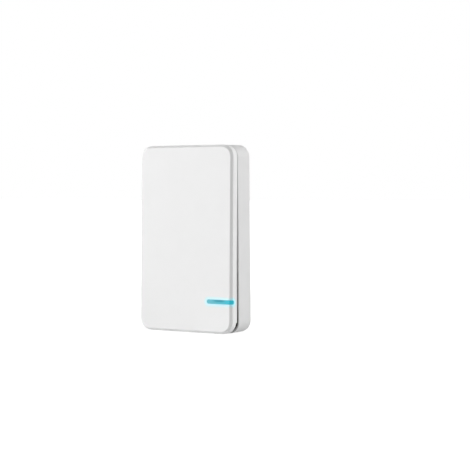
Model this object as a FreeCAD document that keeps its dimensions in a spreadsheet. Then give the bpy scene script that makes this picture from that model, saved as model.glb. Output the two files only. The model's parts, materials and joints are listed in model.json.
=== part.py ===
"""Battery radio wall switch: a screwed-on tray with one rocker plate over its whole front.

Frame: the back of the tray lies on the wall at Y = 0, the front faces -Y and +Z is up.
"Depth" in the comments and names is the distance from the wall, so depth = -Y.
The rocker is drawn parallel to the wall, as when pressed, and then swung out about its hinge.
"""
import FreeCAD, Part
import os
import re
import Sketcher

Vector = FreeCAD.Vector
doc = FreeCAD.newDocument("wall_switch")
sheet = doc.addObject("Spreadsheet::Sheet", "sizes")

SIZES = {
    # Outline shared by tray and rocker
    "body_width": 52.2,
    "body_height": 86.0,
    "corner_radius": 5.8,
    # Tray
    "housing_depth": 9.9,
    "housing_wall": 1.4,
    "housing_floor": 1.6,
    "rear_bevel": 0.4,
    "rim_round": 0.25,
    "lip_thickness": 0.6,
    "lip_height": 2.4,
    # Rocker plate
    "rim_gap": 0.3,
    "rocker_side": 3.15,
    "rim_bevel": 0.15,
    "face_chamfer": 1.05,
    "edge_round": 0.3,
    "plate_thickness": 2.0,
    "skirt_clearance": 0.3,
    "skirt_thickness": 1.1,
    "skirt_reach": 1.9,
    "corner_opening": 5.0,
    "foot_opening": 7.5,
    "rib_thickness": 1.0,
    "rib_depth": 1.3,
    "side_rib_inset": 10.1,
    "top_rib_inset": 32.25,
    "middle_rib_inset": 25.8,
    "foot_rib_inset": 10.75,
    # Hinge
    "rocker_tilt": 1.5,
    "hinge_inset": 8.6,
    "hinge_depth": 9.0,
    "pin_radius": 1.2,
    "pin_clearance": 0.05,
    "pin_length": 1.9,
    "cheek_clearance": 0.4,
    "cheek_thickness": 1.1,
    "cheek_radius": 2.4,
    "ear_thickness": 1.5,
    "ear_radius": 2.6,
    "ear_slot": 1.9,
    # Light bar
    "bar_length": 13.6,
    "bar_inset": 14.6,
    "bar_height": 2.0,
    "bar_clearance": 0.04,
    "bar_tip": 0.12,
    "stem_width": 5.0,
    "stem_height": 1.5,
    "stem_play": 0.9,
    # Inner frame
    "frame_clearance": 0.4,
    "frame_wall": 1.2,
    "frame_plate": 1.2,
    "brim_clearance": 0.25,
    "brim_depth": 4.4,
    "brim_thickness": 0.8,
    "stop_clearance": 0.25,
    "stop_gap": 0.15,
    "cover_clearance": 0.2,
    # Wall screw slots
    "wall_slot_inset": 13.0,
    "wall_slot_length": 8.0,
    "wall_slot_width": 4.2,
    "wall_land_margin": 2.2,
    "wall_land_height": 0.8,
    "driver_radius": 4.2,
    "driver_length": 12.4,
    # Screws that hold the inner frame
    "post_side_gap": 0.5,
    "post_end_gap": 0.7,
    "post_radius": 2.6,
    "screw_radius": 1.0,
    "screw_length": 6.0,
    "screw_head_radius": 2.0,
    "screw_head_height": 1.3,
    "screw_clearance": 0.03,
    "screw_tip_gap": 0.5,
    "frame_hole_clearance": 0.15,
    "recess_width": 0.6,
    "recess_depth": 0.7,
    # Circuit board
    "standoff_height": 1.6,
    "standoff_radius": 2.0,
    "locating_radius": 0.8,
    "locating_clearance": 0.1,
    "locating_height": 0.4,
    "board_thickness": 1.2,
    "board_clearance": 0.8,
    "board_head": 5.1,
    "board_foot_gap": 3.5,
    "arm_gap": 0.6,
    "arm_inset": 11.0,
    # Tact switches
    "tact_x": 10.0,
    "tact_z": 14.4,
    "tact_width": 6.0,
    "tact_base": 3.2,
    "tact_cover": 0.3,
    "clip_width": 3.0,
    "clip_thickness": 0.25,
    "clip_length": 1.4,
    "tact_lead_pitch": 4.5,
    "tact_lead_width": 0.7,
    "plunger_radius": 1.7,
    "plunger_stand": 1.5,
    "plunger_root": 0.9,
    "plunger_clearance": 0.12,
    "nub_radius": 1.5,
    "nub_gap": 0.05,
    "nub_hole_clearance": 0.75,
    # Battery and its contacts
    "battery_radius": 4.0,
    "battery_can": 27.0,
    "battery_bevel": 0.4,
    "battery_cap": 1.2,
    "battery_cap_radius": 1.6,
    "battery_side_gap": 0.75,
    "battery_drop": 9.0,
    "battery_floor_gap": 0.4,
    "battery_window_gap": 0.25,
    "contact_gap": 0.05,
    "contact_thickness": 0.4,
    "contact_width": 6.4,
    "tab_overlap": 1.6,
    "tab_height": 1.2,
    "contact_spring": 2.55,
    "contact_coil_radius": 2.4,
    "contact_wire": 0.25,
    "cradle_wall": 1.2,
    "cradle_width": 9.0,
    "cradle_height": 6.0,
    "saddle_height": 2.2,
    "saddle_inset": 6.75,
    # Return springs
    "spring_x": 9.0,
    "spring_inset": 19.0,
    "spring_radius": 2.2,
    "spring_wire": 0.2,
    "spring_turns": 5.0,
    "spring_seat_gap": 0.1,
    "well_radius": 3.0,
    "well_wall": 0.7,
    "well_floor": 5.0,
    "spring_pin_radius": 1.6,
    "spring_pin_length": 1.6,
    # Snap hooks that stop the rocker
    "hook_x": 8.0,
    "hook_inset": 7.0,
    "hook_width": 5.0,
    "hook_thickness": 1.2,
    "hook_barb": 0.9,
    "hook_barb_height": 1.4,
    "hook_gap": 0.05,
    "hook_clearance": 0.3,
    # Pry notch in the tray's bottom rim
    "notch_width": 8.0,
    "notch_depth": 1.2,
    # Parts on the board
    "led_inset": 8.1,
    "led_radius": 1.5,
    "led_height": 4.6,
    "led_flange_radius": 1.7,
    "led_flange": 0.8,
    "led_hole_clearance": 0.3,
    "chip_drop": 8.4,
    "chip_length": 4.9,
    "chip_width": 3.9,
    "chip_height": 1.4,
    "lead_length": 1.0,
    "lead_width": 0.4,
    "lead_height": 0.7,
    "lead_pitch": 1.27,
    "can_drop": 8.2,
    "can_radius": 4.2,
    "can_flange_radius": 4.6,
    "can_flange": 0.5,
    "can_height": 3.2,
    "coil_radius": 1.5,
    "coil_wire": 0.3,
    "coil_pitch": 1.6,
    "coil_turns": 6.0,
    "coil_lift": 0.1,
    "drum_shift": 2.4,
    "drum_drop": 6.2,
    "drum_radius": 2.0,
    "drum_height": 3.0,
    "drum_flange": 0.5,
    "drum_waist": 1.6,
    "transistor_shift": 2.4,
    "transistor_drop": 11.0,
    "transistor_length": 2.9,
    "transistor_width": 1.3,
    "transistor_height": 1.0,
    "capacitor_drop": 6.0,
    "capacitor_pitch": 2.2,
    "capacitor_length": 2.0,
    "capacitor_width": 1.25,
    "capacitor_height": 0.9,
    "resistor_drop": 2.8,
    "resistor_pitch": 3.4,
    "resistor_length": 2.0,
    "resistor_width": 1.2,
    "resistor_height": 0.5,
}

# Formulas worked out from the sizes, by name
DERIVED = {
    # Levels, as depths from the wall
    "rocker_rim": "housing_depth + rim_gap",
    "chamfer_line": "rocker_rim + rocker_side",
    "face": "chamfer_line + face_chamfer",
    "plate_back": "face - plate_thickness",
    "skirt_end": "rocker_rim - skirt_reach",
    "board_back": "housing_floor + standoff_height",
    "board_face": "board_back + board_thickness",
    "tact_top": "board_face + tact_base + tact_cover",
    "frame_back": "tact_top + cover_clearance",
    "frame_face": "frame_back + frame_plate",
    "stop_back": "housing_depth - lip_height + stop_clearance",
    "stop_top": "rocker_rim - stop_gap",
    "plunger_top": "tact_top + plunger_stand",
    "battery_axis": "housing_floor + battery_floor_gap + battery_radius",
    # Insets from the shared outline
    "skirt_inset": "lip_thickness + skirt_clearance",
    "cavity_inset": "skirt_inset + skirt_thickness",
    "cheek_inset": "housing_wall + cheek_clearance + cheek_thickness",
    "brim_inset": "housing_wall + brim_clearance",
    "frame_inset": "cheek_inset + frame_clearance",
    "frame_cavity_inset": "frame_inset + frame_wall",
    # Corner stops: an arc about the outline's corner and two sides beside the skirt's openings
    "opening_side": "body_width / 2 - foot_opening",
    "opening_drop": "body_height / 2 - corner_opening",
    "stop_left": "opening_side + stop_clearance",
    "stop_side": "body_width / 2 - corner_opening + stop_clearance",
    "stop_drop": "opening_drop + stop_clearance",
    "stop_radius": "corner_radius - lip_thickness - stop_clearance",
    "stop_offset": "corner_radius - corner_opening + stop_clearance",
    "stop_reach": "sqrt(stop_radius * stop_radius - stop_offset * stop_offset)",
    "corner_side": "body_width / 2 - corner_radius",
    "corner_drop": "body_height / 2 - corner_radius",
    # Places of what is fixed by the outline; a drop is measured down from the middle
    "hinge_height": "body_height / 2 - hinge_inset",
    "top_rib_z": "body_height / 2 - top_rib_inset",
    "middle_rib_drop": "body_height / 2 - middle_rib_inset",
    "foot_rib_drop": "body_height / 2 - foot_rib_inset",
    "rib_spread": "body_width / 2 - side_rib_inset",
    "bar_left": "body_width / 2 - bar_length",
    "bar_drop": "body_height / 2 - bar_inset",
    "led_x": "body_width / 2 - led_inset",
    "wall_screw_spacing": "body_height - 2 * wall_slot_inset",
    "post_x": "body_width / 2 - frame_cavity_inset - post_radius - post_side_gap",
    "post_z": "body_height / 2 - frame_cavity_inset - post_radius - post_end_gap",
    "spring_drop": "body_height / 2 - spring_inset",
    "hook_drop": "body_height / 2 - hook_inset",
    # Battery, from the tray's left wall
    "battery_length": "battery_can + battery_cap",
    "contact_room": "contact_spring + contact_thickness + 3 * contact_gap",
    "battery_left": "body_width / 2 - frame_cavity_inset - battery_side_gap - cradle_wall - contact_room",
    "battery_right": "battery_length - battery_left",
    "cradle_left": "-1 * battery_left - contact_room",
    "cradle_right": "battery_right + 2 * contact_gap + contact_thickness",
    # Board and what is on it, from the two push switches and the battery
    "tact_arm": "hinge_height - tact_z",
    "board_edge": "body_width / 2 - frame_cavity_inset - board_clearance",
    "board_top": "tact_z + tact_width / 2 + board_head",
    "board_foot": "battery_drop - cradle_width / 2 - board_foot_gap",
    "arm_left": "cradle_right + cradle_wall + arm_gap",
    "arm_middle": "(arm_left + board_edge) / 2",
    "arm_foot": "body_height / 2 - arm_inset",
    "chip_z": "tact_z - chip_drop",
    "can_z": "tact_z - can_drop",
    "drum_x": "tact_x + drum_shift",
    "drum_z": "tact_z - drum_drop",
    "transistor_x": "tact_x - transistor_shift",
    "transistor_z": "tact_z - transistor_drop",
    "capacitor_z": "tact_z - capacitor_drop",
    "resistor_z": "tact_z - resistor_drop",
}
STANDOFFS = [
    ("-1 * post_x", "board_top - 2 * standoff_radius"),
    ("post_x", "board_top - 2 * standoff_radius"),
    ("-1 * post_x", "standoff_radius"),
    ("post_x", "-1 * battery_drop - battery_radius"),
]
CAPACITORS = [
    ("transistor_x", "capacitor_z"),
    ("transistor_x", "capacitor_z + capacitor_pitch"),
    ("arm_middle", "transistor_z"),
    ("-1 * chip_length", "chip_z - chip_width - lead_length"),
]
RESISTORS = [
    ("-1 * resistor_pitch", "resistor_z"),
    ("0", "resistor_z"),
    ("resistor_pitch", "resistor_z"),
    ("resistor_pitch", "chip_z - chip_width - lead_length"),
    ("arm_middle", "-1 * battery_drop + lead_length * 2"),
    ("arm_middle", "led_flange_radius * 4 - bar_drop"),
]

# Edges closer than this to a level count as lying at it
LEVEL_LIMIT = 1e-4

for row, (alias, number_in_mm) in enumerate(SIZES.items(), start=1):
    sheet.set("A%d" % row, alias)
    sheet.set("B%d" % row, str(number_in_mm))
    sheet.setAlias("B%d" % row, alias)
doc.recompute()


def reference(word):
    """Sheet reference for a size and the formula of a derived one; other words, such as sin, stay."""
    name = word.group()
    if name in DERIVED:
        return "(" + sized(DERIVED[name]) + ")"
    return "sizes." + name if name in SIZES else name


def sized(text):
    """Formula with its names turned into references to the sheet."""
    return re.sub("[a-z_]+", reference, text)


def number(text):
    """Value of a formula, in millimetres or degrees."""
    return float(sheet.evalExpression(sized(text)))


def minus(text):
    return "-1 * (" + text + ")"


def swing(drop):
    """How far a point of the rocker at height -drop stands out at rest."""
    return "(( hinge_height + " + drop + " ) * sin( rocker_tilt ))"


def origin_feature(body, role):
    return [feature for feature in body.Origin.OriginFeatures if feature.Role == role][0]


def new_body(label):
    body = doc.addObject("PartDesign::Body", label)
    body.Label = label
    return body


def new_sketch(body, name, depth="0", role="XZ_Plane"):
    """Sketch on a plane of the body. On XZ_Plane its offset is the depth from the wall."""
    sketch = body.newObject("Sketcher::SketchObject", body.Name + "_" + name)
    sketch.AttachmentSupport = (origin_feature(body, role), [""])
    sketch.MapMode = "FlatFace"
    sketch.setExpression("AttachmentOffset.Base.z", sized(depth))
    return sketch


def constrain(sketch, kind, references, text):
    """Dimension bound to a formula of the sheet."""
    index = sketch.addConstraint(Sketcher.Constraint(kind, *references, number(text)))
    sketch.setExpression("Constraints[%d]" % index, sized(text))


def place_point(sketch, geometry, point, across, up):
    constrain(sketch, "DistanceX", (-1, 1, geometry, point), across)
    constrain(sketch, "DistanceY", (-1, 1, geometry, point), up)


def draw_circle(sketch, across, up, radius):
    centre = Vector(number(across), number(up), 0)
    circle = sketch.addGeometry(Part.Circle(centre, Vector(0, 0, 1), number(radius)), False)
    place_point(sketch, circle, 3, across, up)
    constrain(sketch, "Radius", (circle,), radius)


def draw_polygon(sketch, corners):
    """Closed outline through corners, each a pair of formulas."""
    points = [Vector(number(across), number(up), 0) for across, up in corners]
    lines = []
    for start, end in zip(points, points[1:] + points[:1]):
        lines.append(sketch.addGeometry(Part.LineSegment(start, end), False))
    for line, following in zip(lines, lines[1:] + lines[:1]):
        sketch.addConstraint(Sketcher.Constraint("Coincident", line, 2, following, 1))
    for line, (across, up) in zip(lines, corners):
        place_point(sketch, line, 1, across, up)


def draw_wire(sketch, across, up, radius):
    """Four-sided section of a coil's fine wire, standing on a corner."""
    draw_polygon(sketch, [
        (across + " - " + radius, up), (across, up + " - " + radius),
        (across + " + " + radius, up), (across, up + " + " + radius)])


def draw_box(sketch, left, right, low, high):
    draw_polygon(sketch, [(left, low), (right, low), (right, high), (left, high)])


def draw_centred_box(sketch, across, up, width, height):
    half_width = " ( " + width + " ) / 2"
    half_height = " ( " + height + " ) / 2"
    draw_box(sketch, across + " -" + half_width, across + " +" + half_width,
             up + " -" + half_height, up + " +" + half_height)


def draw_rounded_box(sketch, left, right, low, high, radius):
    """Rectangle with four equal tangent arcs at its corners."""
    x0, x1, y0, y1, r = (number(text) for text in (left, right, low, high, radius))
    quarter = 1.5707963267948966
    runs = [((x0 + r, y0), (x1 - r, y0)), ((x1, y0 + r), (x1, y1 - r)),
            ((x1 - r, y1), (x0 + r, y1)), ((x0, y1 - r), (x0, y0 + r))]
    centres = [(x1 - r, y0 + r), (x1 - r, y1 - r), (x0 + r, y1 - r), (x0 + r, y0 + r)]
    lines = []
    for start, end in runs:
        segment = Part.LineSegment(Vector(*start, 0), Vector(*end, 0))
        lines.append(sketch.addGeometry(segment, False))
    arcs = []
    for turn, centre in enumerate(centres):
        circle = Part.Circle(Vector(*centre, 0), Vector(0, 0, 1), r)
        start_angle = (turn - 1) * quarter
        arcs.append(sketch.addGeometry(Part.ArcOfCircle(circle, start_angle, start_angle + quarter), False))
    for turn in range(4):
        following = (turn + 1) % 4
        sketch.addConstraint(Sketcher.Constraint("Tangent", lines[turn], 2, arcs[turn], 1))
        sketch.addConstraint(Sketcher.Constraint("Tangent", arcs[turn], 2, lines[following], 1))
        sketch.addConstraint(Sketcher.Constraint("Vertical" if turn % 2 else "Horizontal", lines[turn]))
    for arc in arcs[1:]:
        sketch.addConstraint(Sketcher.Constraint("Equal", arcs[0], arc))
    constrain(sketch, "Radius", (arcs[0],), radius)
    constrain(sketch, "DistanceY", (-1, 1, lines[0], 1), low)
    constrain(sketch, "DistanceX", (-1, 1, lines[1], 1), right)
    constrain(sketch, "DistanceY", (-1, 1, lines[2], 1), high)
    constrain(sketch, "DistanceX", (-1, 1, lines[3], 1), left)


def draw_slot(sketch, across, up, length, radius):
    """Upright slot of the given end-to-end length."""
    reach = "(( " + length + " ) / 2 - " + radius + ")"
    x, y, r, half = number(across), number(up), number(radius), number(reach)
    half_turn = 3.141592653589793
    top = Part.Circle(Vector(x, y + half, 0), Vector(0, 0, 1), r)
    foot = Part.Circle(Vector(x, y - half, 0), Vector(0, 0, 1), r)
    right_side = Part.LineSegment(Vector(x + r, y - half, 0), Vector(x + r, y + half, 0))
    left_side = Part.LineSegment(Vector(x - r, y + half, 0), Vector(x - r, y - half, 0))
    right = sketch.addGeometry(right_side, False)
    top_arc = sketch.addGeometry(Part.ArcOfCircle(top, 0, half_turn), False)
    left = sketch.addGeometry(left_side, False)
    foot_arc = sketch.addGeometry(Part.ArcOfCircle(foot, half_turn, 2 * half_turn), False)
    ring = [right, top_arc, left, foot_arc]
    for piece, following in zip(ring, ring[1:] + ring[:1]):
        sketch.addConstraint(Sketcher.Constraint("Tangent", piece, 2, following, 1))
    sketch.addConstraint(Sketcher.Constraint("Vertical", right))
    sketch.addConstraint(Sketcher.Constraint("Vertical", left))
    constrain(sketch, "Radius", (top_arc,), radius)
    place_point(sketch, top_arc, 3, across, up + " + " + reach)
    constrain(sketch, "DistanceY", (-1, 1, foot_arc, 3), up + " - " + reach)


def draw_outline(sketch, inset):
    """The shared rounded outline, moved inwards by inset."""
    half_width = "body_width / 2 - " + inset
    half_height = "body_height / 2 - " + inset
    draw_rounded_box(sketch, minus(half_width), half_width, minus(half_height), half_height,
                     "corner_radius - " + inset)


def add_feature(body, kind, name, sketch, length=None, reverse=False):
    """Pad, pocket, revolution or groove of a sketch; a length is a formula."""
    feature = body.newObject("PartDesign::" + kind, body.Name + "_" + name)
    feature.Profile = sketch
    if length is not None:
        feature.setExpression("Length", sized(length))
    feature.Reversed = reverse
    body.Tip = feature
    doc.recompute()
    return feature


def pad(body, name, sketch, length, reverse=False):
    """Grow outwards from the wall, or towards it when reversed."""
    return add_feature(body, "Pad", name, sketch, length, reverse)


def pocket(body, name, sketch, length, reverse=False):
    """Cut towards the wall, or away from it when reversed."""
    before = body.Tip.Shape.Volume
    feature = add_feature(body, "Pocket", name, sketch, length, reverse)
    if feature.Shape.Volume >= before:
        raise RuntimeError(body.Name + " " + name + " cut nothing")
    return feature


def revolve(body, name, sketch, axis_role):
    """Full turn of a sketch about an axis of the body."""
    feature = body.newObject("PartDesign::Revolution", body.Name + "_" + name)
    feature.Profile = sketch
    feature.ReferenceAxis = (origin_feature(body, axis_role), [""])
    feature.Angle = 360
    body.Tip = feature
    doc.recompute()
    return feature


def edges_at_depth(feature, depth):
    """Names of the edges that lie at one depth."""
    level = -number(depth)
    names = []
    for index, edge in enumerate(feature.Shape.Edges, start=1):
        box = edge.BoundBox
        if abs(box.YMin - level) < LEVEL_LIMIT and abs(box.YMax - level) < LEVEL_LIMIT:
            names.append("Edge%d" % index)
    return names


def dress(body, kind, name, edges, size):
    """Fillet or chamfer on named edges of the body's last feature."""
    base = body.Tip
    feature = body.newObject("PartDesign::" + kind, body.Name + "_" + name)
    feature.Base = (base, edges)
    feature.setExpression("Radius" if kind == "Fillet" else "Size", sized(size))
    body.Tip = feature
    doc.recompute()
    return feature


def put(thing, across="0", depth="0", up="0"):
    """Bind an object's place to formulas."""
    thing.setExpression("Placement.Base.x", sized(across))
    thing.setExpression("Placement.Base.y", sized(minus(depth)))
    thing.setExpression("Placement.Base.z", sized(up))


def hang_on_hinge(body):
    """Swing a body that was drawn parallel to the wall out about the hinge line."""
    body.Placement = FreeCAD.Placement(Vector(0, 0, 0), FreeCAD.Rotation(Vector(-1, 0, 0), 1.0))
    body.setExpression("Placement.Rotation.Angle", sized("rocker_tilt"))
    lean = "(1 - cos( rocker_tilt ))"
    put(body, "0",
        "hinge_depth * " + lean + " + hinge_height * sin( rocker_tilt)",
        "hinge_height * " + lean + " - hinge_depth * sin( rocker_tilt)")


def make_box(label, across, depth, up, width, height, tall):
    """Upright block centred on a point of the board; height is along Z, tall along depth."""
    box = doc.addObject("Part::Box", label)
    box.Label = label
    box.setExpression("Length", sized(width))
    box.setExpression("Width", sized(tall))
    box.setExpression("Height", sized(height))
    put(box, across + " - ( " + width + " ) / 2", depth + " + " + tall, up + " - ( " + height + " ) / 2")
    return box


def make_rod(label, across, depth, up, radius, tall):
    """Cylinder that stands out from a depth."""
    rod = doc.addObject("Part::Cylinder", label)
    rod.Label = label
    rod.setExpression("Radius", sized(radius))
    rod.setExpression("Height", sized(tall))
    rod.Placement = FreeCAD.Placement(Vector(0, 0, 0), FreeCAD.Rotation(Vector(1, 0, 0), 90))
    put(rod, across, depth, up)
    return rod


def join(kind, label, pieces):
    """Fusion of pieces, or a compound that keeps them as separate solids."""
    whole = doc.addObject(kind, label)
    whole.Label = label
    if kind == "Part::Compound":
        whole.Links = pieces
    else:
        whole.Shapes = pieces
        whole.Refine = True
    doc.recompute()
    return whole


def add_hinge_arm(body, name, place, root, radius, thickness, reverse):
    """Flat arm that reaches from a root depth to the hinge line and ends round about it."""
    neck = new_sketch(body, name + "_neck", place, "YZ_Plane")
    draw_box(neck, minus(root), minus("hinge_depth"), "hinge_height - " + radius, "hinge_height + " + radius)
    pad(body, name + "_neck_pad", neck, thickness, reverse)
    eye = new_sketch(body, name + "_eye", place, "YZ_Plane")
    draw_circle(eye, minus("hinge_depth"), "hinge_height", radius)
    pad(body, name + "_eye_pad", eye, thickness, reverse)


def make_housing():
    body = new_body("housing")
    outline = new_sketch(body, "outline")
    draw_outline(outline, "0")
    block = pad(body, "block", outline, "housing_depth")
    bevelled = dress(body, "Chamfer", "rear_edge", edges_at_depth(block, "0"), "rear_bevel")
    dress(body, "Fillet", "front_edge", edges_at_depth(bevelled, "housing_depth"), "rim_round")
    cavity = new_sketch(body, "cavity", "housing_depth")
    draw_outline(cavity, "housing_wall")
    pocket(body, "hollow", cavity, "housing_depth - housing_floor")
    lip = new_sketch(body, "lip", "housing_depth")
    draw_outline(lip, "lip_thickness")
    pocket(body, "lip_rebate", lip, "lip_height")

    lands = new_sketch(body, "wall_lands", "housing_floor")
    for side in ("wall_screw_spacing / 2", "-1 * wall_screw_spacing / 2"):
        draw_slot(lands, "0", side, "wall_slot_length + 2 * wall_land_margin",
                  "(wall_slot_width / 2 + wall_land_margin)")
    pad(body, "lands", lands, "wall_land_height")
    slots = new_sketch(body, "wall_slots", "housing_floor + wall_land_height")
    for side in ("wall_screw_spacing / 2", "-1 * wall_screw_spacing / 2"):
        draw_slot(slots, "0", side, "wall_slot_length", "(wall_slot_width / 2)")
    pocket(body, "slots", slots, "housing_floor + wall_land_height")

    posts = new_sketch(body, "posts", "housing_floor")
    holes = new_sketch(body, "post_holes", "frame_back")
    for across in ("post_x", "-1 * post_x"):
        for up in ("post_z", "-1 * post_z"):
            draw_circle(posts, across, up, "post_radius")
            draw_circle(holes, across, up, "screw_radius + screw_clearance")
    pad(body, "post_set", posts, "frame_back - housing_floor")
    pocket(body, "post_bores", holes, "screw_length - frame_plate + screw_tip_gap")

    standoffs = new_sketch(body, "standoffs", "housing_floor")
    spigots = new_sketch(body, "spigots", "housing_floor")
    for across, up in STANDOFFS:
        draw_circle(standoffs, across, up, "standoff_radius")
        draw_circle(spigots, across, up, "locating_radius")
    pad(body, "standoff_set", standoffs, "standoff_height")
    pad(body, "spigot_set", spigots, "standoff_height + board_thickness + locating_height")

    cradle = new_sketch(body, "cradle", "housing_floor")
    draw_box(cradle, "cradle_left - cradle_wall", "cradle_left",
             "-1 * battery_drop - cradle_width / 2", "-1 * battery_drop + cradle_width / 2")
    draw_box(cradle, "cradle_right", "cradle_right + cradle_wall",
             "-1 * battery_drop - cradle_width / 2", "-1 * battery_drop + cradle_width / 2")
    pad(body, "cradle_ends", cradle, "cradle_height")

    saddles = new_sketch(body, "saddles", "housing_floor")
    for centre in ("-1 * battery_left + saddle_inset", "battery_can - battery_left - saddle_inset"):
        draw_centred_box(saddles, centre, "-1 * battery_drop", "2 * cradle_wall", "cradle_width")
    pad(body, "saddle_blocks", saddles, "saddle_height")
    bed = new_sketch(body, "battery_bed", "0 - battery_left", "YZ_Plane")
    draw_circle(bed, minus("battery_axis"), "-1 * battery_drop", "battery_radius + contact_gap")
    pocket(body, "bed", bed, "battery_can", reverse=True)

    notch = new_sketch(body, "pry_notch", "housing_depth")
    draw_box(notch, "-1 * notch_width / 2", "notch_width / 2",
             "-1 * body_height / 2 - housing_wall", "-1 * body_height / 2 + 1.5 * housing_wall")
    pocket(body, "notch", notch, "notch_depth")
    return body


def draw_corner_stop(sketch, side):
    """Outline of a stop in a lower corner: two straight sides and an arc that follows the tray."""
    across = "%d * " % side
    corner = Vector(number(across + "stop_side"), number(minus("stop_drop")), 0)
    centre = Vector(number(across + "corner_side"), number(minus("corner_drop")), 0)
    reach, offset = number("stop_reach"), number("stop_offset")
    far_side = centre + Vector(side * reach, -offset, 0)
    far_foot = centre + Vector(side * offset, -reach, 0)
    middle = centre + Vector(side, -1, 0).normalize() * number("stop_radius")
    foot = sketch.addGeometry(Part.LineSegment(corner, far_side), False)
    inner = sketch.addGeometry(Part.LineSegment(corner, far_foot), False)
    rounded = sketch.addGeometry(Part.Arc(far_side, middle, far_foot), False)
    turned = sketch.getPoint(rounded, 1).distanceToPoint(far_side) > LEVEL_LIMIT
    sketch.addConstraint(Sketcher.Constraint("Coincident", foot, 1, inner, 1))
    sketch.addConstraint(Sketcher.Constraint("Coincident", foot, 2, rounded, 2 if turned else 1))
    sketch.addConstraint(Sketcher.Constraint("Coincident", inner, 2, rounded, 1 if turned else 2))
    sketch.addConstraint(Sketcher.Constraint("Horizontal", foot))
    sketch.addConstraint(Sketcher.Constraint("Vertical", inner))
    constrain(sketch, "Radius", (rounded,), "stop_radius")
    place_point(sketch, rounded, 3, across + "corner_side", minus("corner_drop"))
    place_point(sketch, foot, 1, across + "stop_side", minus("stop_drop"))


def make_mid_frame():
    body = new_body("mid_frame")
    outline = new_sketch(body, "outline", "housing_floor")
    draw_outline(outline, "frame_inset")
    pad(body, "block", outline, "frame_face - housing_floor")
    cavity = new_sketch(body, "cavity", "frame_back")
    draw_outline(cavity, "frame_cavity_inset")
    pocket(body, "hollow", cavity, "frame_back - housing_floor")
    brim = new_sketch(body, "brim", "brim_depth")
    draw_outline(brim, "brim_inset")
    draw_outline(brim, "frame_cavity_inset")
    pad(body, "brim_ring", brim, "brim_thickness")
    stops = new_sketch(body, "corner_stops", "stop_back")
    for side in (1, -1):
        draw_corner_stop(stops, side)
    pad(body, "corner_stop_set", stops, "stop_top - stop_back")
    feet = new_sketch(body, "stop_feet", "stop_back")
    for left, right in (("stop_left", "stop_side"), (minus("stop_side"), minus("stop_left"))):
        draw_box(feet, left, right, minus("corner_drop + stop_reach"), minus("stop_drop"))
    pad(body, "stop_foot_set", feet, "stop_top - stop_back")

    ear_outer = "(body_width / 2 - frame_inset)"
    for side, name in ((1, "right"), (-1, "left")):
        place = ear_outer if side > 0 else minus(ear_outer)
        add_hinge_arm(body, name + "_ear", place, "frame_back", "ear_radius", "ear_thickness", side > 0)
        bore = new_sketch(body, name + "_bore", place, "YZ_Plane")
        draw_circle(bore, minus("hinge_depth"), "hinge_height", "pin_radius + pin_clearance")
        pocket(body, name + "_pin_bore", bore, "pin_length + frame_clearance", reverse=side < 0)
        mouth = new_sketch(body, name + "_mouth", place, "YZ_Plane")
        draw_box(mouth, minus("hinge_depth + 2 * ear_radius"), minus("hinge_depth"),
                 "hinge_height - ear_slot / 2", "hinge_height + ear_slot / 2")
        pocket(body, name + "_snap_mouth", mouth, "ear_thickness", reverse=side < 0)

    wells = new_sketch(body, "wells", "well_floor - well_wall")
    bores = new_sketch(body, "well_bores", "frame_face")
    for across in ("spring_x", "-1 * spring_x"):
        draw_circle(wells, across, "-1 * spring_drop", "well_radius + well_wall")
        draw_circle(bores, across, "-1 * spring_drop", "well_radius")
    pad(body, "well_set", wells, "frame_back - well_floor + well_wall")
    pocket(body, "well_holes", bores, "frame_face - well_floor")

    windows = new_sketch(body, "windows", "frame_face")
    for across in ("tact_x", "-1 * tact_x"):
        draw_circle(windows, across, "tact_z", "nub_radius + nub_hole_clearance")
    for side in ("wall_screw_spacing / 2", "-1 * wall_screw_spacing / 2"):
        draw_slot(windows, "0", side, "driver_length", "driver_radius")
    draw_circle(windows, "led_x", "-1 * bar_drop", "led_radius + led_hole_clearance")
    draw_box(windows, "cradle_left", "battery_right + cover_clearance",
             "-1 * battery_drop - battery_radius - battery_window_gap",
             "-1 * battery_drop + battery_radius + battery_window_gap")
    for across in ("hook_x", "-1 * hook_x"):
        draw_box(windows, across + " - hook_width / 2 - hook_clearance",
                 across + " + hook_width / 2 + hook_clearance",
                 "-1 * hook_drop - hook_thickness / 2 - hook_clearance",
                 "-1 * hook_drop + hook_thickness / 2 + hook_clearance")
    for across in ("post_x", "-1 * post_x"):
        for up in ("post_z", "-1 * post_z"):
            draw_circle(windows, across, up, "screw_radius + frame_hole_clearance")
    pocket(body, "window_set", windows, "frame_plate")
    return body


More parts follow.
